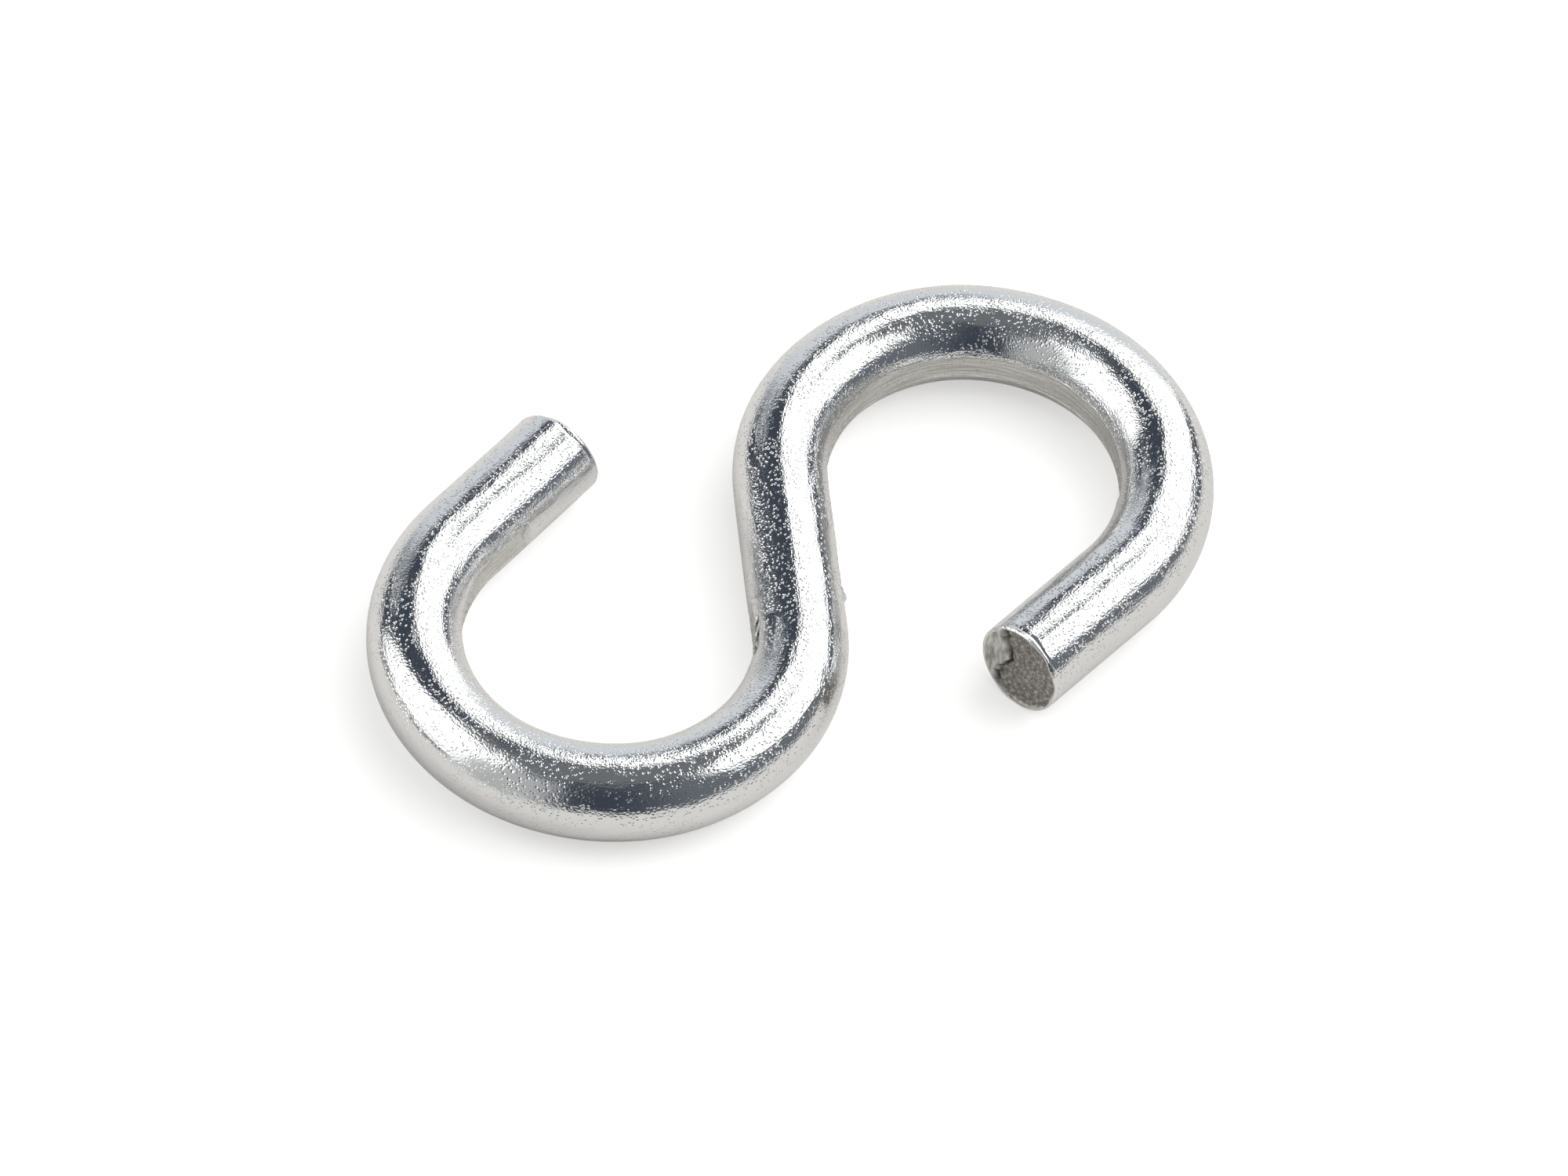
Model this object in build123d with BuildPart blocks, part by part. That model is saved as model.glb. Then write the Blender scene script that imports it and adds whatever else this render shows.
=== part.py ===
from build123d import *
from math import atan2, cos, degrees, radians, sin, sqrt, tan
import os

# S hook: one length of round zinc-plated steel wire, bent into two open hooks and lying flat.
#
# Frame: millimetres, +Z up, the wire resting on Z = 0, +X along the line through the two hook
# centres, origin below the middle of the bounding box.  Seen from above the wire is an S: the
# right hook (+X) opens towards -X and -Y, the left hook (-X) opens towards +X and +Y.
#
# The hook is built with the wire's middle on Z = 0 and the middle of the shank at the origin,
# and is set in its frame at the end.

# ---- driving dimensions, millimetres and degrees ------------------------------------------

wire_diameter = 5.0
shank_length = 9.5            # straight middle run, between the two bends

right_bend_radius = 10.0      # to the wire's centreline
right_bend_sweep = 228.0
right_arm_length = 7.7        # straight run past the bend, to the middle of the end face

left_bend_radius = 9.85
left_bend_sweep = 224.5
left_arm_length = 8.3

end_tilt = 5.0                # sheared end faces lean back by this much: the underside is longer
end_edge_radius = 0.12        # rolled-over edge of each end face

flat_width = 1.7              # band pressed flat by the forming pin on the inside of each bend
right_flat_on_shank = 7.5     # how far the right hook's band runs along the shank
right_flat_short_of_arm = 33.5    # and how many degrees before the arm it ends
left_flat_on_shank = 1.5
left_flat_on_arm = 2.6        # the left hook's band covers its whole bend and this much of the arm

# ---- worked out from the driving dimensions -----------------------------------------------

wire_radius = wire_diameter / 2

# Half the chord of the flat band gives how deep it is pressed into the round wire.
flat_offset = sqrt(wire_radius**2 - (flat_width / 2) ** 2)
right_flat_sweep = right_bend_sweep - right_flat_short_of_arm

# The shank leans so that the two hook centres lie on a line parallel to X.
shank_angle = degrees(atan2(right_bend_radius + left_bend_radius, shank_length))
shank_direction = Vector(cos(radians(shank_angle)), sin(radians(shank_angle)))
shank_normal = shank_direction.rotate(Axis.Z, -90)      # towards the right hook's centre

right_tangent = shank_direction * (shank_length / 2)
left_tangent = shank_direction * (-shank_length / 2)

# Spare wire beyond the middle of the end face, so that the tilted cut meets solid all round.
shear_allowance = wire_radius * tan(radians(end_tilt)) + end_edge_radius


def shear_plane(centreline, end):
    """The sheared face at one end of the centreline: X sideways, Z pointing off the wire's end."""
    outward = centreline.tangent_at(end) * (1 if end else -1)
    sideways = Vector(0, 0, 1).cross(outward)
    face_normal = outward.rotate(Axis((0, 0, 0), sideways), -end_tilt)
    tip = centreline.position_at(end) - outward * shear_allowance
    return Plane(origin=tip, x_dir=sideways, z_dir=face_normal)


def pressed_band(tangent, direction, inward, bend_radius, sweep_angle, on_shank, on_arm=0):
    """Plan of what the forming pin presses away: along the shank, the bend and the arm, and
    back by way of the bend's centre."""
    band_start = tangent - direction * on_shank + inward * flat_offset
    bend_start = tangent + inward * flat_offset
    with BuildLine() as outline:
        Line(band_start, bend_start)
        bend = JernArc(bend_start, direction, bend_radius - flat_offset, -sweep_angle)
        band_end = bend @ 1 + (bend % 1) * on_arm
        if on_arm:
            Line(bend @ 1, band_end)
        Polyline(band_end, tangent + inward * bend_radius, band_start)
    make_face(outline.edges())


# ---- the hook -----------------------------------------------------------------------------

with BuildPart() as s_hook:
    # Centreline, from one end face to the other.
    with BuildLine() as centreline:
        Line(left_tangent, right_tangent)
        right_bend = JernArc(right_tangent, shank_direction, right_bend_radius, -right_bend_sweep)
        left_bend = JernArc(left_tangent, -shank_direction, left_bend_radius, -left_bend_sweep)
        PolarLine(right_bend @ 1, right_arm_length + shear_allowance, direction=right_bend % 1)
        PolarLine(left_bend @ 1, left_arm_length + shear_allowance, direction=left_bend % 1)
    path = centreline.wire()

    with BuildSketch(Plane(origin=path @ 0, z_dir=path % 0)):
        Circle(wire_radius)
    sweep(path=path)

    # Shear both ends off on the tilt, then roll the edges over.
    for end in (0, 1):
        with BuildSketch(shear_plane(path, end)):
            Circle(wire_diameter)
        extrude(amount=2 * shear_allowance, mode=Mode.SUBTRACT)
    end_faces = s_hook.faces().filter_by(GeomType.PLANE)
    fillet(end_faces.edges(), radius=end_edge_radius)

    # Press the flat bands on the inside of both bends.
    with BuildSketch():
        pressed_band(right_tangent, shank_direction, shank_normal, right_bend_radius,
                     right_flat_sweep, right_flat_on_shank)
        pressed_band(left_tangent, -shank_direction, -shank_normal, left_bend_radius,
                     left_bend_sweep, left_flat_on_shank, left_flat_on_arm)
    extrude(amount=wire_radius, both=True, mode=Mode.SUBTRACT)

# The two hooks differ a little in size, so the middle of the box is not the middle of the shank.
box = s_hook.part.bounding_box()
s_hook.part = s_hook.part.moved(Location((-box.center().X, -box.center().Y, -box.min.Z)))
s_hook.part.label = "s_hook"

os.makedirs("parts", exist_ok=True)
export_step(s_hook.part, "parts/s_hook.step")
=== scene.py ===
from math import atan2, cos, pi, radians, sin, sqrt, tan

import bpy
import numpy as np
from mathutils import Matrix, Vector


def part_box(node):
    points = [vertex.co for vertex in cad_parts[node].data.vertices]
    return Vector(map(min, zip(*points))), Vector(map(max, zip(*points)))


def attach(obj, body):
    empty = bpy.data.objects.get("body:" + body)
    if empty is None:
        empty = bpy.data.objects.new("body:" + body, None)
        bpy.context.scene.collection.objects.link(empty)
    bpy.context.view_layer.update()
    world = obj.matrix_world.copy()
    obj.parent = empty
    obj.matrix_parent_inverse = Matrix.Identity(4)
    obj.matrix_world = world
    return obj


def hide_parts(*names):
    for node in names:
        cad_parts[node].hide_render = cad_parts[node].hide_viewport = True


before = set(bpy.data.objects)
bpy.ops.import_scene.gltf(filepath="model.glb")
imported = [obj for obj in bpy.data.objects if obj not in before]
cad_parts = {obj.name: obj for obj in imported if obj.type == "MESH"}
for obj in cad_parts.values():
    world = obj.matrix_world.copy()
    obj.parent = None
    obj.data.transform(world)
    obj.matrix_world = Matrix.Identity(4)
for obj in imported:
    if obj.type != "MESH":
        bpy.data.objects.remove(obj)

# A zinc-plated S hook of round wire, lying flat on a white table under two big soft boxes.
# Lengths are metres.  A place on the wire is s, the distance along it from the middle of the
# shank, positive towards the right end, and theta, the angle round it in radians: 0 on the left
# of that way, a quarter turn on top.

NODE = "s_hook"
BODY = "root"
MM = 0.001
RNG = np.random.default_rng(7)
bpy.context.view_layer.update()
low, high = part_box(NODE)

# ---- the wire's plan, as in the construction model ------------------------------------------

WIRE_R = (high.z - low.z) / 2
SHANK = 9.5 * MM
RIGHT_BEND = 10.0 * MM
RIGHT_SWEEP = radians(228.0)
RIGHT_ARM = 7.7 * MM
LEFT_BEND = 9.85 * MM
LEFT_SWEEP = radians(224.5)
LEFT_ARM = 8.3 * MM
END_TILT = radians(5.0)
BAND_WIDTH = 1.7 * MM
# Where each pressed band begins and ends, measured outwards from the shank's end on its side.
RIGHT_BAND = (-7.5 * MM, RIGHT_BEND * (RIGHT_SWEEP - radians(33.5)))
LEFT_BAND = (-1.5 * MM, LEFT_BEND * LEFT_SWEEP + 2.6 * MM)

SHANK_ANGLE = atan2(RIGHT_BEND + LEFT_BEND, SHANK)
RIGHT_LENGTH = SHANK / 2 + RIGHT_BEND * RIGHT_SWEEP + RIGHT_ARM
LEFT_LENGTH = SHANK / 2 + LEFT_BEND * LEFT_SWEEP + LEFT_ARM

# The same as places on the wire, in the order of s.
RIGHT_START, RIGHT_STOP = SHANK / 2 + RIGHT_BAND[0], SHANK / 2 + RIGHT_BAND[1]
LEFT_START, LEFT_STOP = -SHANK / 2 - LEFT_BAND[1], -SHANK / 2 - LEFT_BAND[0]
RIGHT_BAND_SIDE, LEFT_BAND_SIDE = pi, 0.0
EDGE_ANGLE = np.arcsin(BAND_WIDTH / 2 / WIRE_R)


def half_plan(s, heading, bend, sweep):
    """Plan point and heading at distance s from the middle of the shank, along one half."""
    along = np.array([np.cos(heading), np.sin(heading)])
    right = np.array([np.sin(heading), -np.cos(heading)])
    turned = np.clip((s - SHANK / 2) / bend, 0, sweep)
    straight = np.minimum(s, SHANK / 2)
    past = np.maximum(s - SHANK / 2 - bend * sweep, 0)
    way = heading - turned
    point = (
        straight[:, None] * along
        + (bend * np.sin(turned))[:, None] * along
        + (bend * (1 - np.cos(turned)))[:, None] * right
        + past[:, None] * np.stack([np.cos(way), np.sin(way)], 1)
    )
    return point, way


def plan(s):
    """Plan point and heading at s."""
    right_point, right_way = half_plan(np.maximum(s, 0), SHANK_ANGLE, RIGHT_BEND, RIGHT_SWEEP)
    left_point, left_way = half_plan(np.maximum(-s, 0), SHANK_ANGLE + pi, LEFT_BEND, LEFT_SWEEP)
    on_right = (s >= 0)[:, None]
    point = np.where(on_right, right_point, left_point)
    way = np.where(s >= 0, right_way, left_way + pi)
    return point, way


# ---- small numeric helpers ------------------------------------------------------------------

def smooth(x, a, b):
    """0 at a, 1 at b, easing in between."""
    t = np.clip((x - a) / (b - a), 0, 1)
    return t * t * (3 - 2 * t)


def hump(x, width):
    """1 at 0, falling away on both sides, to about a third at the width."""
    return np.exp(-((x / width) ** 2))


def off_from(theta, middle):
    """Angle from middle to theta, between minus half a turn and half a turn."""
    return (theta - middle + pi) % (2 * pi) - pi


def waves(x, y, scale, count, rng):
    """A smooth random field of about unit size: a sum of plane waves near one wavelength."""
    total = np.zeros(np.broadcast(x, y).shape)
    for _ in range(count):
        angle, phase = rng.uniform(0, 2 * pi, 2)
        k = 2 * pi / (scale * rng.uniform(0.7, 1.5))
        total = total + np.sin(k * (x * np.cos(angle) + y * np.sin(angle)) + phase)
    return total / sqrt(count / 2)


# ---- how finely the wire is cut up ----------------------------------------------------------

EVEN_ANGLES = 96
EDGE_STEPS = np.radians(np.arange(-3.5, 4.3, 0.7))      # across each edge of a band
PIT_STEPS = np.radians(np.arange(25, 31.1, 1.0))        # above the edge that the pits lie along
LEAST_TURN = radians(0.45)
EVEN_STATIONS = 440
MARK_STEPS = np.arange(-0.9, 0.91, 0.07) * MM           # on both sides of each mark
TIP_STEPS = np.geomspace(0.015, 2.0, 26) * MM           # inwards from each end
LEAST_STEP = 0.012 * MM
END_STEPS = 36          # rings from an end face's rim to its middle, the last one a point
END_CROWDING = 1.3      # above 1 the rings lie closer together at the rim
LIP_RINGS = 3           # this many strips inside the rim are still plated


def around_angles():
    """Angles round the wire, closer together along the edges of the pressed bands."""
    even = np.linspace(0, 2 * pi, EVEN_ANGLES, endpoint=False)
    middles = (LEFT_BAND_SIDE, RIGHT_BAND_SIDE)
    edges = [middle + sign * EDGE_ANGLE + EDGE_STEPS for middle in middles for sign in (1, -1)]
    angles = np.unique(np.round(np.concatenate([even, *edges, PIT_STEPS]) % (2 * pi), 5))
    keep = np.ones(len(angles), bool)
    keep[1:] = np.diff(angles) > LEAST_TURN
    return angles[keep]


def along_stations():
    """Stations along the wire, closer together at the ends, where a band stops and at the pits."""
    pits = [LEFT_STOP - share * PIT_ROW for share in (0.65, 1.0)]
    marks = [RIGHT_START, RIGHT_STOP, LEFT_START, LEFT_STOP] + pits
    even = np.linspace(-LEFT_LENGTH, RIGHT_LENGTH, EVEN_STATIONS)
    near = [mark + MARK_STEPS for mark in marks]
    tips = [RIGHT_LENGTH - TIP_STEPS, -LEFT_LENGTH + TIP_STEPS]
    s = np.unique(np.concatenate([even] + near + tips))
    keep = np.ones(len(s), bool)
    keep[1:-1] = np.diff(s)[:-1] > LEAST_STEP
    return s[keep]


# ---- the marks on the wire ------------------------------------------------------------------

RIDGE_HEIGHT = 0.070 * MM       # metal pushed up along a band's edges, where LEAST_WEAR lets it
RIDGE_OUTSIDE = 0.07 * MM
RIDGE_INSIDE = 0.10 * MM
GROOVE_DEPTH = 0.020 * MM       # a scratch that the press tool drew along each band
GROOVE_WIDTH = 0.08 * MM
GROOVE_PLACE = 0.45             # of the way from the band's middle to its edge
EDGE_WANDER = (0.04, 2.6 * MM)  # how far a band's edge strays, in half widths, and over what length
EDGE_FRAY = (0.03, 0.6 * MM)    # the same, finer
FAR_OFF = 1.2                   # radians from a band's middle, well outside it
CURL_BEFORE = 0.1 * MM          # from a curl of plating to the band it lies before
PIT_ROW = 2.6 * MM              # pits beside the place where the left band stops, darkened with painted shade
PIT_ROW_ENDS = (1.7, 0.4)       # where the row starts and stops, in those lengths back from there
PIT_ROW_SIDE = 1.2 * EDGE_ANGLE
PIT_ROW_WIDTH = 0.10            # radians
DEEPEST_PIT = 0.09 * MM
LEAST_WEAR = 0.001 * MM         # apart from curls, the surface is this far inside the nominal wire
LIP = 0.05 * MM                 # height of the edge round an end face
PINCH = 0.06 * MM               # depth of the line that the blade pinched behind the rim
PINCH_WIDTH = 0.07 * MM
PINCHED_SIDE = radians(50)
ROLLED_SIDE = radians(150)
# Each end: how far its rim is rolled over, how much more on the rounder side, and its seeds.
RIGHT_RIM = {"rolled": 0.09 * MM, "rounder": 0.0, "seed": 31}
LEFT_RIM = {"rolled": 0.22 * MM, "rounder": 2.0, "seed": 37}
RIGHT_FACE_SEED, LEFT_FACE_SEED = 11, 23


def band_depth(s, theta, start, stop, middle, rng):
    """How far the pressed band lies inside the round wire, and how much it is pressed here."""
    off = off_from(theta, middle)
    side = np.where(off < 0, -1.0, 1.0)
    ragged = EDGE_WANDER[0] * waves(s, side, EDGE_WANDER[1], 5, rng)
    ragged = ragged + EDGE_FRAY[0] * waves(s, side, EDGE_FRAY[1], 4, rng)
    edge = EDGE_ANGLE * (1 + ragged)
    inside = np.abs(off) < edge
    flat = WIRE_R * np.cos(edge) / np.cos(np.minimum(np.abs(off), FAR_OFF))
    pressed = np.maximum(WIRE_R - flat, 0) * inside
    across = (np.abs(off) - edge) * WIRE_R
    ridge = RIDGE_HEIGHT * hump(across, np.where(across > 0, RIDGE_OUTSIDE, RIDGE_INSIDE))
    groove = GROOVE_DEPTH * hump((off - GROOVE_PLACE * edge) * WIRE_R, GROOVE_WIDTH)
    # The band fades in and out over a few tenths of a millimetre.
    on = smooth(s, start - 0.25 * MM, start + 0.12 * MM)
    on = on * (1 - smooth(s, stop - 0.12 * MM, stop + 0.3 * MM))
    return (pressed - ridge + groove) * on, on * inside


def flake(s, theta, at, middle, height):
    """A curl of plating pushed up by the press tool where a band stops, with a nick before it."""
    # Millimetres from the curl's middle; the curl is bowed, and its nick lies past it.
    along = (s - at) / MM
    around = off_from(theta, middle) * WIRE_R / MM
    bowed = along - 0.35 * around**2
    curl = hump(bowed, 0.11) * hump(around, 0.55)
    nick = hump(bowed - 0.30, 0.13) * hump(around - 0.1, 0.45)
    return height * (0.7 * nick - curl)


def pit_bites(s, theta):
    """How deep the row of pits bites here, from 0 to 1."""
    start, stop = (LEFT_STOP - share * PIT_ROW for share in PIT_ROW_ENDS)
    along = smooth(s, start, start + 0.4 * MM) * (1 - smooth(s, stop - 0.3 * MM, stop))
    across = hump(off_from(theta, PIT_ROW_SIDE), PIT_ROW_WIDTH)
    return along * across * np.clip(1.0 + 1.3 * waves(s, theta * WIRE_R, 0.45 * MM, 8, RNG), 0, 1)


def hook_surface(s, theta):
    """At each station and angle: the surface's radius, how pressed it is, and how pitted."""
    S, T = np.meshgrid(s, theta, indexing="ij")
    right_depth, right_mask = band_depth(S, T, RIGHT_START, RIGHT_STOP, RIGHT_BAND_SIDE, RNG)
    left_depth, left_mask = band_depth(S, T, LEFT_START, LEFT_STOP, LEFT_BAND_SIDE, RNG)
    curls = flake(S, T, RIGHT_START - CURL_BEFORE, RIGHT_BAND_SIDE - 0.10, 0.20 * MM)
    curls = curls + flake(-S, T, -LEFT_STOP - CURL_BEFORE, LEFT_BAND_SIDE + 0.25, 0.08 * MM)
    curls = curls + flake(S, T, LEFT_START - CURL_BEFORE, LEFT_BAND_SIDE + 0.05, 0.09 * MM)
    pits = pit_bites(S, T)
    wander = 0.006 * MM * waves(S, T * WIRE_R, 9 * MM, 6, RNG) + 0.012 * MM
    depth = np.maximum(right_depth + left_depth + wander, LEAST_WEAR) + curls + DEEPEST_PIT * pits
    return WIRE_R - depth, np.maximum(right_mask, left_mask), np.clip(pits, 0, 1)


def roll_and_pinch(radius, theta, inward, rim):
    """The blade rolls an end's edge over where it enters, and pinches a line behind the rim."""
    rng = np.random.default_rng(rim["seed"])
    rounder = np.clip(np.cos(theta - ROLLED_SIDE), 0, 1) ** 2
    rolled = rim["rolled"] * (1 + rim["rounder"] * rounder)
    gap = np.clip(1 - inward[:, None] / rolled, 0, 1)
    radius = radius - rolled * (1 - np.sqrt(1 - gap**2))
    behind = (0.26 + 0.09 * waves(theta, 0 * theta, 1.3, 4, rng)) * MM
    share = 0.3 + 0.9 * np.cos(theta - PINCHED_SIDE) + 0.3 * waves(theta, 0 * theta, 0.9, 4, rng)
    return radius - PINCH * np.clip(share, 0, 1) * hump(inward[:, None] - behind, PINCH_WIDTH)


def end_relief(a, b, rng_seed):
    """A sheared end face at (a, b), across and up: height in metres, how torn, how cracked."""
    rng = np.random.default_rng(rng_seed)
    x, y = a / WIRE_R, b / WIRE_R
    # The blade smeared the side at negative x; past a ragged crack the steel tore.
    border = -0.42 + 0.10 * np.cos(4.5 * (y - 0.12)) - 0.12 * np.clip(-y - 0.5, 0, 1)
    border = border + 0.035 * waves(0 * y, y, 0.22, 6, rng)
    fracture = smooth(x, border - 0.02, border + 0.05)
    crack = hump(x - border - 0.03, 0.04) * (0.75 + 0.25 * np.sin(9 * y + 1.0))
    rough = waves(a, b, 0.55 * MM, 8, rng) + 0.7 * waves(a, b, 0.22 * MM, 10, rng)
    # Inside a ragged rim the face lies lower; a lip stands up just within the edge.
    rim = np.hypot(x, y)
    round_rim = np.arctan2(y, x)
    ragged = 0.025 * waves(round_rim, 0 * x, 0.7, 5, rng)
    inside = 1 - smooth(rim, 0.89 + ragged, 0.93 + ragged)
    lip = LIP * hump(rim - 0.96, 0.022) * (0.7 + 0.4 * waves(round_rim, 0 * x, 0.9, 4, rng))
    smear = 0.014 * MM * waves(a, b, 0.8 * MM, 6, rng)
    torn_depth = 0.13 * MM + 0.035 * MM * rough
    height = lip + inside * (smear * (1 - fracture) - fracture * torn_depth - 0.22 * MM * crack)
    # The crack's share, returned last, also paints shade into the face's colour.
    return height, fracture * inside, np.clip(1.3 * crack * inside, 0, 1)


# ---- the hook's mesh ------------------------------------------------------------------------

def wire_tube(s, theta, radius):
    """The tube's points, and each ring's centre and way ahead; rings lean with the ends."""
    point, way = plan(s)
    centre = np.concatenate([point, np.zeros((len(s), 1))], 1)
    ahead = np.stack([np.cos(way), np.sin(way), 0 * way], 1)
    side = np.stack([-np.sin(way), np.cos(way), 0 * way], 1)
    up = np.array([0.0, 0.0, 1.0])
    lean = smooth(s, RIGHT_LENGTH - 3 * MM, RIGHT_LENGTH) - smooth(-s, LEFT_LENGTH - 3 * MM, LEFT_LENGTH)
    shift = -radius * np.sin(theta) * tan(END_TILT) * lean[:, None]
    tube = (
        centre[:, None, :]
        + ahead[:, None, :] * shift[:, :, None]
        + side[:, None, :] * (radius * np.cos(theta))[:, :, None]
        + up * (radius * np.sin(theta))[:, :, None]
    )
    return tube, centre, ahead


def end_rings(rim, radius, theta, centre, out, sign, seed):
    """An end face, from the rim inwards: each ring's points, places, how torn, how cracked."""
    for step in range(1, END_STEPS):
        share = 1 - (step / END_STEPS) ** END_CROWDING
        a = radius * np.cos(theta) * share * sign
        b = radius * np.sin(theta) * share
        height, torn, crack = end_relief(a, b, rng_seed=seed)
        yield centre + (rim - centre) * share + out * height[:, None], np.stack([a, b], 1), torn, crack
    height, torn, crack = end_relief(np.zeros(1), np.zeros(1), rng_seed=seed)
    yield (centre + out * height[0])[None, :], np.zeros((1, 2)), torn, crack


def strip(first, second, count, sign):
    """Quads between two rings of vertices, from the first one of each; sign -1 flips them."""
    here = np.arange(count)
    after = (here + 1) % count
    quads = np.stack([first + after, second + after, second + here, first + here], 1)
    return quads[:, ::sign]


def fan(first, tip, count, sign):
    """Triangles from a ring of vertices to one vertex, the tip; sign -1 flips them."""
    here = np.arange(count)
    after = (here + 1) % count
    return np.stack([first + after, np.full(count, tip), first + here], 1)[:, ::sign]


def build_hook():
    """The wire as one mesh, with a UV map along it and the masks that its materials read."""
    theta = around_angles()
    s = along_stations()
    count = len(theta)
    radius, band, pits = hook_surface(s, theta)
    radius = roll_and_pinch(radius, theta, RIGHT_LENGTH - s, RIGHT_RIM)
    radius = roll_and_pinch(radius, theta, LEFT_LENGTH + s, LEFT_RIM)
    tube, centre, ahead = wire_tube(s, theta, radius)

    along = np.broadcast_to(s[:, None], radius.shape)
    around = np.broadcast_to(theta * WIRE_R, radius.shape)
    places = np.stack([along, around], 2)
    verts = [tube.reshape(-1, 3)]
    uv = [places.reshape(-1, 2)]
    torn = [np.zeros(band.size)]
    cracks = [pits.reshape(-1)]
    strips = [strip(i * count, (i + 1) * count, count, 1) for i in range(len(s) - 1)]
    bare = [np.zeros(count)] * len(strips)
    tube_count = len(strips) * count

    fans = []
    base = len(verts[0])
    for ring, sign, seed in ((len(s) - 1, 1, RIGHT_FACE_SEED), (0, -1, LEFT_FACE_SEED)):
        rings = end_rings(tube[ring], radius[ring], theta, centre[ring], ahead[ring] * sign, sign, seed)
        previous = ring * count
        for step, (points, place, fracture, crack) in enumerate(rings, 1):
            verts.append(points)
            uv.append(place)
            torn.append(fracture)
            cracks.append(crack)
            if step < END_STEPS:
                strips.append(strip(previous, base, count, sign))
                bare.append(np.full(count, step > LIP_RINGS))
            else:
                fans.append(fan(previous, base, count, sign))
            previous = base
            base += len(points)
    bare += [np.ones(count)] * len(fans)
    verts = np.concatenate(verts)
    polygons = np.concatenate(strips).tolist() + np.concatenate(fans).tolist()
    bands = [band.reshape(-1), np.zeros(len(verts) - band.size)]

    # Into the frame: the CAD box gives the middle of the plan, the wire rests on Z = 0.
    middle = (verts.min(0) + verts.max(0)) / 2
    verts[:, 0] += (low.x + high.x) / 2 - middle[0]
    verts[:, 1] += (low.y + high.y) / 2 - middle[1]
    verts[:, 2] += low.z + WIRE_R

    mesh = bpy.data.meshes.new("s_hook_wire")
    mesh.from_pydata(verts.tolist(), [], polygons)
    mesh.polygons.foreach_set("use_smooth", np.ones(len(polygons), bool))
    mesh.polygons.foreach_set("material_index", np.concatenate(bare).astype(np.int32))
    add_wire_map(mesh, np.concatenate(uv), count, tube_count)
    # The crack mask also paints shade: it darkens the colour in the pits on the wire and in the cracks
    # on the end faces.
    for name, parts in (("band", bands), ("torn", torn), ("crack", cracks)):
        layer = mesh.attributes.new(name, "FLOAT", "POINT")
        layer.data.foreach_set("value", np.concatenate(parts).astype(np.float32))
    mesh.validate()
    mesh.update()
    hook = bpy.data.objects.new("hook_wire", mesh)
    bpy.context.scene.collection.objects.link(hook)
    return hook


def add_wire_map(mesh, uv, count, tube_count):
    """The UV map: millimetres along and round the wire, or across and up on an end face."""
    layer = mesh.uv_layers.new(name="wire")
    loops = np.zeros(len(mesh.loops), np.int32)
    mesh.loops.foreach_get("vertex_index", loops)
    places = uv[loops] / MM
    # Where the angle round the wire starts again, the last strip runs on instead of jumping back.
    turn = 2 * pi * WIRE_R / MM
    sizes = np.zeros(len(mesh.polygons), np.int32)
    mesh.polygons.foreach_get("loop_total", sizes)
    last = np.zeros(len(sizes), bool)
    last[count - 1:tube_count:count] = True
    wrap = np.repeat(last, sizes) & (places[:, 1] < turn / 2)
    places[wrap, 1] += turn
    layer.data.foreach_set("uv", places.astype(np.float32).ravel())


# ---- node helpers ---------------------------------------------------------------------------

class Sums:
    """Builds arithmetic out of nodes; every argument is a number or a node's output."""

    def __init__(self, tree):
        self.nodes = tree.nodes
        self.links = tree.links

    def feed(self, socket, value):
        if isinstance(value, (int, float)):
            socket.default_value = value
        else:
            self.links.new(value, socket)

    def op(self, operation, *values):
        node = self.nodes.new("ShaderNodeMath")
        node.operation = operation
        for socket, value in zip(node.inputs, values):
            self.feed(socket, value)
        return node.outputs[0]

    def ease(self, value, start, end):
        """0 at start, 1 at end, easing in between."""
        node = self.nodes.new("ShaderNodeMapRange")
        node.interpolation_type = "SMOOTHSTEP"
        self.feed(node.inputs["Value"], value)
        node.inputs["From Min"].default_value = start
        node.inputs["From Max"].default_value = end
        return node.outputs["Result"]

    def span(self, value, start, end, soft_start, soft_end):
        """1 from start to end, fading out over a width about either of them."""
        into = self.ease(value, start - soft_start / 2, start + soft_start / 2)
        out = self.ease(value, end + soft_end / 2, end - soft_end / 2)
        return self.op("MULTIPLY", into, out)

    def mix(self, share, under, over):
        """Colours: a share of over laid on under."""
        node = self.nodes.new("ShaderNodeMix")
        node.data_type = "RGBA"
        self.feed(node.inputs["Factor"], share)
        for name, colour in (("A", under), ("B", over)):
            socket = next(i for i in node.inputs if i.name == name and i.type == "RGBA")
            if isinstance(colour, tuple):
                socket.default_value = (*colour, 1)
            else:
                self.links.new(colour, socket)
        return next(o for o in node.outputs if o.type == "RGBA")


def new_material(name):
    material = bpy.data.materials.new(name)
    material.use_nodes = True
    nodes = material.node_tree.nodes
    return material, nodes, material.node_tree.links, nodes["Principled BSDF"]


def wire_places(nodes):
    """The wire's own coordinates, in millimetres."""
    place = nodes.new("ShaderNodeUVMap")
    place.uv_map = "wire"
    return place.outputs["UV"]


def mask(nodes, name):
    """One of the masks that the mesh carries."""
    node = nodes.new("ShaderNodeAttribute")
    node.attribute_name = name
    return node.outputs["Fac"]


def texture(nodes, links, kind, place, stretch, **values):
    """A texture node whose coordinates are the wire's own, in millimetres, times stretch."""
    scale = nodes.new("ShaderNodeMapping")
    scale.inputs["Scale"].default_value = (*stretch, 1.0)
    links.new(place, scale.inputs["Vector"])
    node = nodes.new(kind)
    for name, value in values.items():
        node.inputs[name.replace("_", " ")].default_value = value
    links.new(scale.outputs["Vector"], node.inputs["Vector"])
    return node


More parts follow.
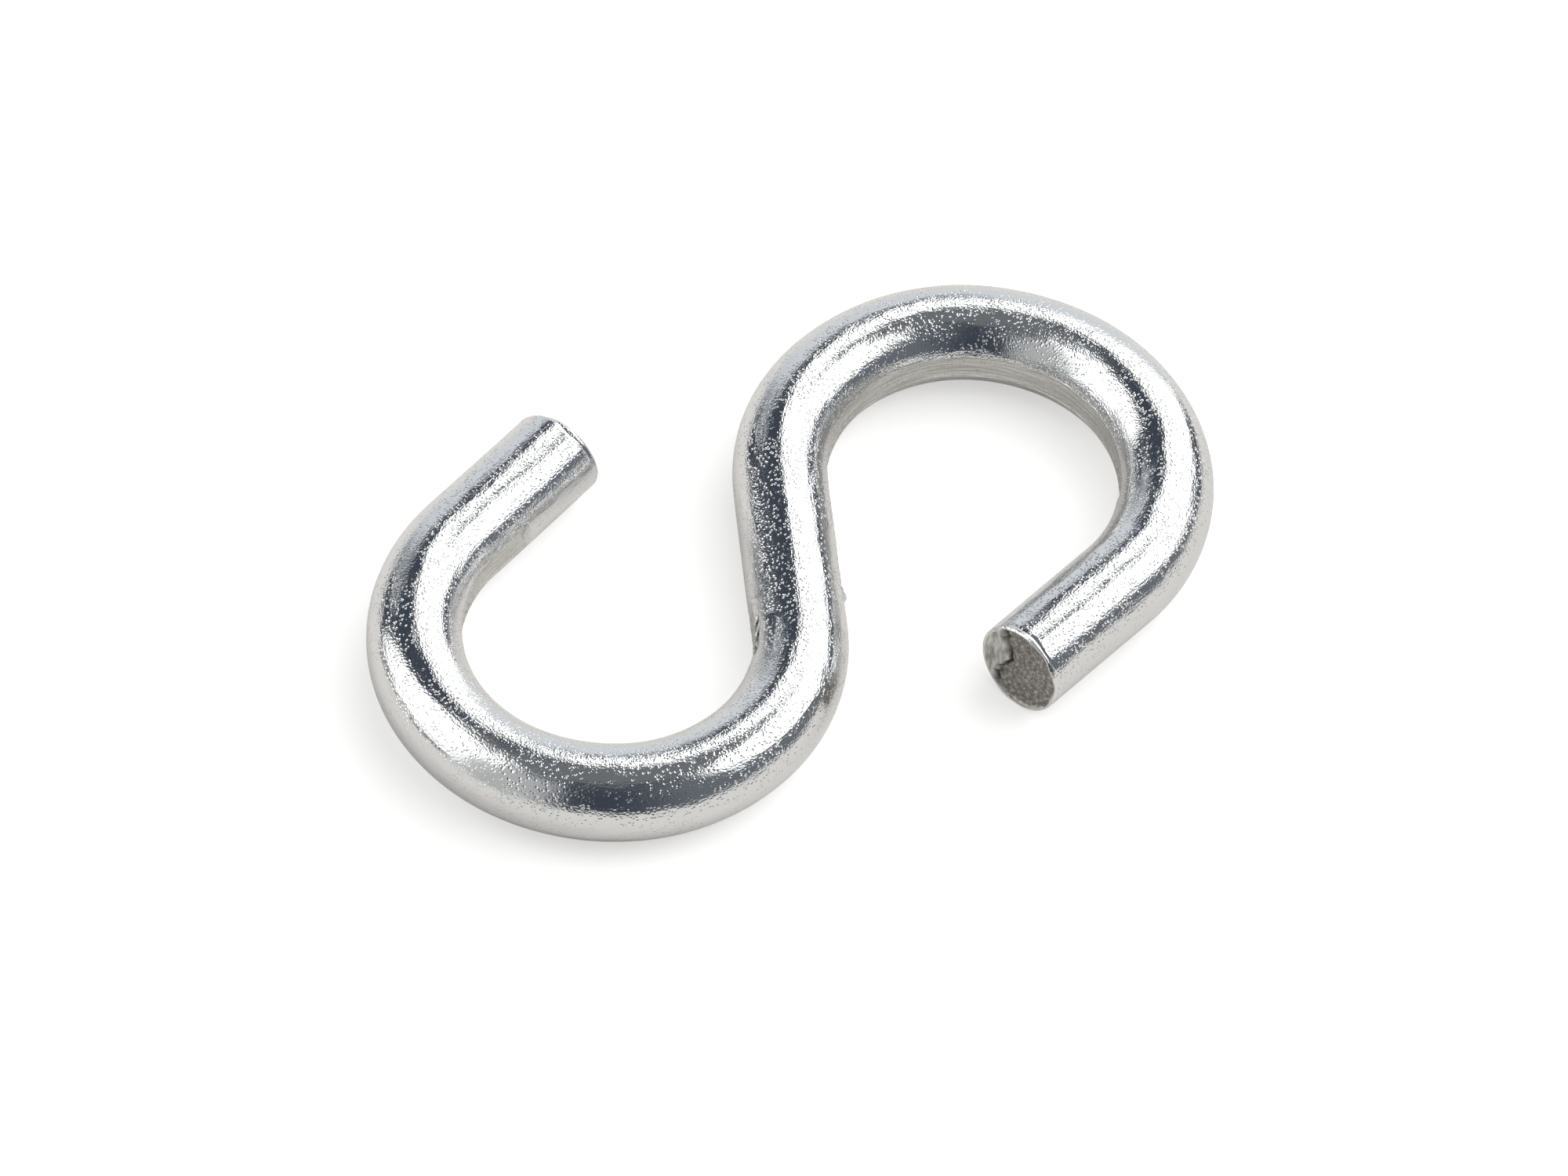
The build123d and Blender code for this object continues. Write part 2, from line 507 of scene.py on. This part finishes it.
def bump(nodes, links, shader, height, distance):
    """The shader's normal follows the height."""
    node = nodes.new("ShaderNodeBump")
    node.inputs["Strength"].default_value = 1.0
    node.inputs["Distance"].default_value = distance
    links.new(height, node.inputs["Height"])
    links.new(node.outputs["Normal"], shader.inputs["Normal"])


# ---- materials ------------------------------------------------------------------------------

NOISE = "ShaderNodeTexNoise"
PIT_DEPTH = 0.021 * MM
TORN_GRAIN = 0.02 * MM
BRIGHT_ZINC = (0.80, 0.805, 0.81)
PRESSED_PALE = (0.80, 0.79, 0.765)
PRESSED_DARK = (0.56, 0.55, 0.53)
PRESSED_SPECK = (0.42, 0.41, 0.39)
# Painted shade: the colour that darkens the deep pits on the wire.
PIT_PAINTED_SHADE = (0.03, 0.03, 0.035)
STEEL_PALE = (0.66, 0.63, 0.58)
STEEL_DARK = (0.25, 0.235, 0.215)
SMEARED_PALE = (0.70, 0.69, 0.66)
SMEARED_DARK = (0.34, 0.33, 0.31)
# Painted shade: the colour that darkens the cracks on the end faces.
CRACK_PAINTED_SHADE = (0.03, 0.028, 0.025)


def zinc_material():
    """Bright zinc plate: small round pits, fine drawing streaks, smooth where it was pressed."""
    material, nodes, links, shader = new_material("bright_zinc")
    sums = Sums(material.node_tree)
    where = wire_places(nodes)
    pits = texture(nodes, links, "ShaderNodeTexVoronoi", where, (5.3, 5.5), Scale=1.0)
    pits.feature = "SMOOTH_F1"
    pits.inputs["Smoothness"].default_value = 0.35
    grain = texture(nodes, links, NOISE, where, (8.5, 9.5), Scale=1.0, Detail=1.0).outputs["Fac"]
    patches = texture(nodes, links, NOISE, where, (0.35, 0.9), Scale=1.0, Detail=2.0).outputs["Fac"]
    streaks = texture(nodes, links, NOISE, where, (0.22, 9.0), Scale=1.0, Detail=3.0).outputs["Fac"]
    band = mask(nodes, "band")
    crack = mask(nodes, "crack")

    # Colour: a pressed band is streaked and specked; a deep pit gets painted shade, near black.
    pressed = sums.mix(sums.ease(streaks, 0.38, 0.62), PRESSED_DARK, PRESSED_PALE)
    pressed = sums.mix(sums.ease(grain, 0.60, 0.70), pressed, PRESSED_SPECK)
    colour = sums.mix(band, BRIGHT_ZINC, pressed)
    colour = sums.mix(crack, colour, PIT_PAINTED_SHADE)
    links.new(colour, shader.inputs["Base Color"])

    # Height: pits that come and go in patches, with grain, less on a band, and the streaks.
    depth = sums.op("MULTIPLY_ADD", sums.ease(patches, 0.34, 0.58), 0.75, 0.25)
    pitted = sums.op("MULTIPLY", sums.ease(pits.outputs["Distance"], 0.10, 0.42), depth)
    height = sums.op("MULTIPLY_ADD", grain, 0.50, pitted)
    height = sums.op("MULTIPLY", height, sums.op("MULTIPLY_ADD", band, -0.45, 1.0))
    drawn = sums.op("MULTIPLY_ADD", band, 1.6, 0.35)
    height = sums.op("ADD", sums.op("MULTIPLY", streaks, drawn), height)
    bump(nodes, links, shader, height, PIT_DEPTH)

    rough = sums.op("MULTIPLY_ADD", streaks, 0.10, 0.07)
    rough = sums.op("MULTIPLY_ADD", crack, 0.8, rough)
    links.new(rough, shader.inputs["Roughness"])
    links.new(sums.op("MULTIPLY_ADD", crack, -0.9, 1.0), shader.inputs["Metallic"])
    return material


def sheared_material():
    """Bare torn steel on the end faces, with zinc smeared over one side by the blade."""
    material, nodes, links, shader = new_material("sheared_steel")
    sums = Sums(material.node_tree)
    where = wire_places(nodes)
    torn = mask(nodes, "torn")
    crack = mask(nodes, "crack")
    specks = texture(nodes, links, NOISE, where, (4.5, 4.5), Scale=1.0, Detail=4.0, Roughness=0.7)
    specks = specks.outputs["Fac"]
    smear = texture(nodes, links, NOISE, where, (3.0, 1.0), Scale=1.0, Detail=3.0).outputs["Fac"]
    bare = sums.mix(sums.ease(specks, 0.42, 0.70), STEEL_DARK, STEEL_PALE)
    zinc = sums.mix(sums.ease(smear, 0.35, 0.65), SMEARED_DARK, SMEARED_PALE)
    colour = sums.mix(torn, zinc, bare)
    # Painted shade: the cracks are darkened in colour.
    colour = sums.mix(crack, colour, CRACK_PAINTED_SHADE)
    links.new(colour, shader.inputs["Base Color"])
    links.new(sums.op("MULTIPLY_ADD", torn, -0.55, 0.85), shader.inputs["Metallic"])
    links.new(sums.op("MULTIPLY_ADD", torn, 0.18, 0.40), shader.inputs["Roughness"])
    bump(nodes, links, shader, specks, TORN_GRAIN)
    return material


# ---- the studio -----------------------------------------------------------------------------
# Its directions are an azimuth, in degrees to the right from straight behind the object, and an
# elevation, in degrees up from the table.

VIEW_HEADING = radians(55.26)      # plan direction the camera looks along, from +X
VIEW_DOWN = radians(51.0)
VIEW_ROLL = radians(4.6)
VIEW_DISTANCE = 0.5826
LENS_MM = 260.6
SENSOR_MM = 36.0
AIM = Vector((-1.39, -1.49, 2.5)) * MM

TABLE_R = 5.0
TABLE_SIDES = 64
TABLE_TO_CAMERA = (0.90, 0.90, 0.90)
TABLE_IN_LIGHT = (0.84, 0.82, 0.79)
GLOW = (1.0, 0.99, 0.97, 1)
GLOW_TO_CAMERA = 0.46
GLOW_IN_METAL = 0.08

KEY_DIRECTION = (75, 58)
KEY_DISTANCE = 2.0
KEY_SIZE = 3.2
KEY_WATTS = 29.0

WHITE = (1.0, 1.0, 1.0)
ROOM_BEHIND_CAMERA = (0.05, 0.06, 0.08)
ROOM_OVERHEAD = (0.17, 0.18, 0.19)
RIGHT_WALL = (0.15, 0.165, 0.185)
LEFT_WALL = (0.50, 0.51, 0.51)
BACKDROP = (0.74, 0.77, 0.80)
BRIGHT_PATCH = (1.1, 1.1, 1.1)
LEFT_BOX = (1.9, 1.9, 1.87)
RIGHT_BOX = (2.0, 2.0, 1.97)
BOX_FRAME_AZIMUTH = 44.0
FILL_LOSS = 0.45        # the share of the studio's light that dull surfaces don't get


def direction(azimuth, elevation):
    """Unit vector that points to an azimuth and an elevation."""
    heading = VIEW_HEADING - radians(azimuth)
    rise = radians(elevation)
    return Vector((cos(heading) * cos(rise), sin(heading) * cos(rise), sin(rise)))


def studio_angles(nodes, links, sums):
    """The azimuth and the elevation of the direction that a ray looks in."""
    place = nodes.new("ShaderNodeTexCoord")
    parts = []
    for axis in (direction(0, 0), direction(90, 0), Vector((0, 0, 1))):
        dot = nodes.new("ShaderNodeVectorMath")
        dot.operation = "DOT_PRODUCT"
        dot.inputs[1].default_value = axis
        links.new(place.outputs["Generated"], dot.inputs[0])
        parts.append(dot.outputs["Value"])
    azimuth = sums.op("DEGREES", sums.op("ARCTAN2", parts[1], parts[0]))
    elevation = sums.op("DEGREES", sums.op("ARCSINE", parts[2]))
    return azimuth, elevation


def right_box_shape(sums, azimuth, elevation):
    """1 in the right soft box: its lower edge comes to a point, a frame parts it near the top."""
    # Elevations of the lower edge, each a slope and a height at azimuth 0, up to a level.
    falling = sums.op("MULTIPLY_ADD", azimuth, -1.17, 41.0)
    rising = sums.op("MINIMUM", sums.op("MULTIPLY_ADD", azimuth, 1.3, -34.0), 18.5)
    rising = sums.op("MAXIMUM", rising, sums.op("MULTIPLY_ADD", azimuth, 0.5, -19.0))
    above = sums.op("SUBTRACT", elevation, sums.op("MAXIMUM", falling, rising))
    box = sums.op("MULTIPLY", sums.ease(above, -2.0, 2.0), sums.ease(elevation, 64, 61))
    box = sums.op("MULTIPLY", box, sums.span(azimuth, -4, 114, 5, 24))
    # The frame's gap starts as a point and widens upwards.
    frame_edge = sums.op("MULTIPLY_ADD", elevation, -0.9, 42.5)
    beside = sums.op("ABSOLUTE", sums.op("SUBTRACT", azimuth, BOX_FRAME_AZIMUTH))
    beside = sums.op("ADD", beside, frame_edge)
    return sums.op("MULTIPLY", box, sums.ease(beside, -0.8, 0.8))


def build_world():
    """A dim studio: two big soft boxes, a pale backdrop behind, dark room elsewhere."""
    world = bpy.data.worlds.new("studio")
    bpy.context.scene.world = world
    world.use_nodes = True
    tree = world.node_tree
    nodes, links = tree.nodes, tree.links
    nodes.clear()
    sums = Sums(tree)
    azimuth, elevation = studio_angles(nodes, links, sums)

    # Each part of the room: azimuths and elevations from and to, and how softly they fade.
    colour = sums.mix(sums.ease(elevation, 58, 74), ROOM_BEHIND_CAMERA, ROOM_OVERHEAD)
    wall = sums.op("MULTIPLY", sums.span(azimuth, 60, 152, 40, 40), sums.ease(elevation, 66, 52))
    colour = sums.mix(wall, colour, RIGHT_WALL)
    wall = sums.op("MULTIPLY", sums.span(azimuth, -162, -116, 22, 10), sums.ease(elevation, 68, 50))
    colour = sums.mix(wall, colour, LEFT_WALL)
    glow = sums.op("MULTIPLY", sums.span(azimuth, -36, 27, 26, 8), sums.ease(elevation, 38, 26))
    colour = sums.mix(glow, colour, BACKDROP)
    patch = sums.op("MULTIPLY", sums.span(azimuth, -47, -42, 5, 5), sums.span(elevation, 19, 27, 6, 6))
    colour = sums.mix(patch, colour, BRIGHT_PATCH)
    box = sums.op("MULTIPLY", sums.span(azimuth, -120, -63, 24, 4), sums.span(elevation, 9, 65, 8, 6))
    colour = sums.mix(box, colour, LEFT_BOX)
    colour = sums.mix(right_box_shape(sums, azimuth, elevation), colour, RIGHT_BOX)

    path = nodes.new("ShaderNodeLightPath")
    colour = sums.mix(path.outputs["Is Camera Ray"], colour, WHITE)
    background = nodes.new("ShaderNodeBackground")
    weaker = sums.op("MULTIPLY_ADD", path.outputs["Is Diffuse Ray"], -FILL_LOSS, 1.0)
    links.new(weaker, background.inputs["Strength"])
    links.new(colour, background.inputs["Color"])
    output = nodes.new("ShaderNodeOutputWorld")
    links.new(background.outputs["Background"], output.inputs["Surface"])


def table_material():
    """White that keeps the hook's shadow, and glows a little to the camera and in the metal."""
    material = bpy.data.materials.new("white_table")
    material.use_nodes = True
    nodes, links = material.node_tree.nodes, material.node_tree.links
    nodes.clear()
    sums = Sums(material.node_tree)
    diffuse = nodes.new("ShaderNodeBsdfDiffuse")
    glow = nodes.new("ShaderNodeEmission")
    glow.inputs["Color"].default_value = GLOW
    path = nodes.new("ShaderNodeLightPath")
    colour = sums.mix(path.outputs["Is Camera Ray"], TABLE_IN_LIGHT, TABLE_TO_CAMERA)
    links.new(colour, diffuse.inputs["Color"])
    mirrored = sums.op("ADD", path.outputs["Is Glossy Ray"], path.outputs["Is Transmission Ray"])
    strength = sums.op("MULTIPLY", mirrored, GLOW_IN_METAL)
    strength = sums.op("MULTIPLY_ADD", path.outputs["Is Camera Ray"], GLOW_TO_CAMERA, strength)
    links.new(strength, glow.inputs["Strength"])
    both = nodes.new("ShaderNodeAddShader")
    links.new(diffuse.outputs["BSDF"], both.inputs[0])
    links.new(glow.outputs["Emission"], both.inputs[1])
    output = nodes.new("ShaderNodeOutputMaterial")
    links.new(both.outputs["Shader"], output.inputs["Surface"])
    return material


def build_floor():
    """A wide round white table top."""
    mesh = bpy.data.meshes.new("table")
    turns = np.linspace(0, 2 * pi, TABLE_SIDES, endpoint=False)
    rim = [(TABLE_R * cos(turn), TABLE_R * sin(turn), 0.0) for turn in turns]
    mesh.from_pydata(rim, [], [tuple(range(TABLE_SIDES))])
    mesh.materials.append(table_material())
    table = bpy.data.objects.new("table", mesh)
    bpy.context.scene.collection.objects.link(table)


def build_key_light():
    """The right soft box once more, as a lamp: it only lights, the world is what shows in metal."""
    data = bpy.data.lights.new("key", "AREA")
    data.shape = "DISK"
    data.size = KEY_SIZE
    data.energy = KEY_WATTS
    lamp = bpy.data.objects.new("key", data)
    bpy.context.scene.collection.objects.link(lamp)
    way = direction(*KEY_DIRECTION)
    turn = way.to_track_quat("Z", "Y").to_matrix().to_4x4()
    lamp.matrix_world = Matrix.Translation(way * KEY_DISTANCE) @ turn
    lamp.visible_glossy = False
    lamp.visible_camera = False


def build_camera():
    """A long lens that looks down at the hook, a little rolled."""
    data = bpy.data.cameras.new("camera")
    data.sensor_width = SENSOR_MM
    data.lens = LENS_MM
    camera = bpy.data.objects.new("camera", data)
    bpy.context.scene.collection.objects.link(camera)
    level = Vector((cos(VIEW_HEADING), sin(VIEW_HEADING), 0.0))
    look = level * cos(VIEW_DOWN) - Vector((0.0, 0.0, sin(VIEW_DOWN)))
    right = Vector((sin(VIEW_HEADING), -cos(VIEW_HEADING), 0.0))
    up = right.cross(look)
    rolled_right = right * cos(VIEW_ROLL) + up * sin(VIEW_ROLL)
    rolled_up = up * cos(VIEW_ROLL) - right * sin(VIEW_ROLL)
    turn = Matrix((rolled_right, rolled_up, -look)).transposed().to_4x4()
    camera.matrix_world = Matrix.Translation(AIM - look * VIEW_DISTANCE) @ turn
    bpy.context.scene.camera = camera


bpy.context.scene.view_settings.view_transform = "Standard"
build_camera()
build_world()
build_floor()
build_key_light()
hook = build_hook()
hook.data.materials.append(zinc_material())
hook.data.materials.append(sheared_material())
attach(hook, BODY)
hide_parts(NODE)
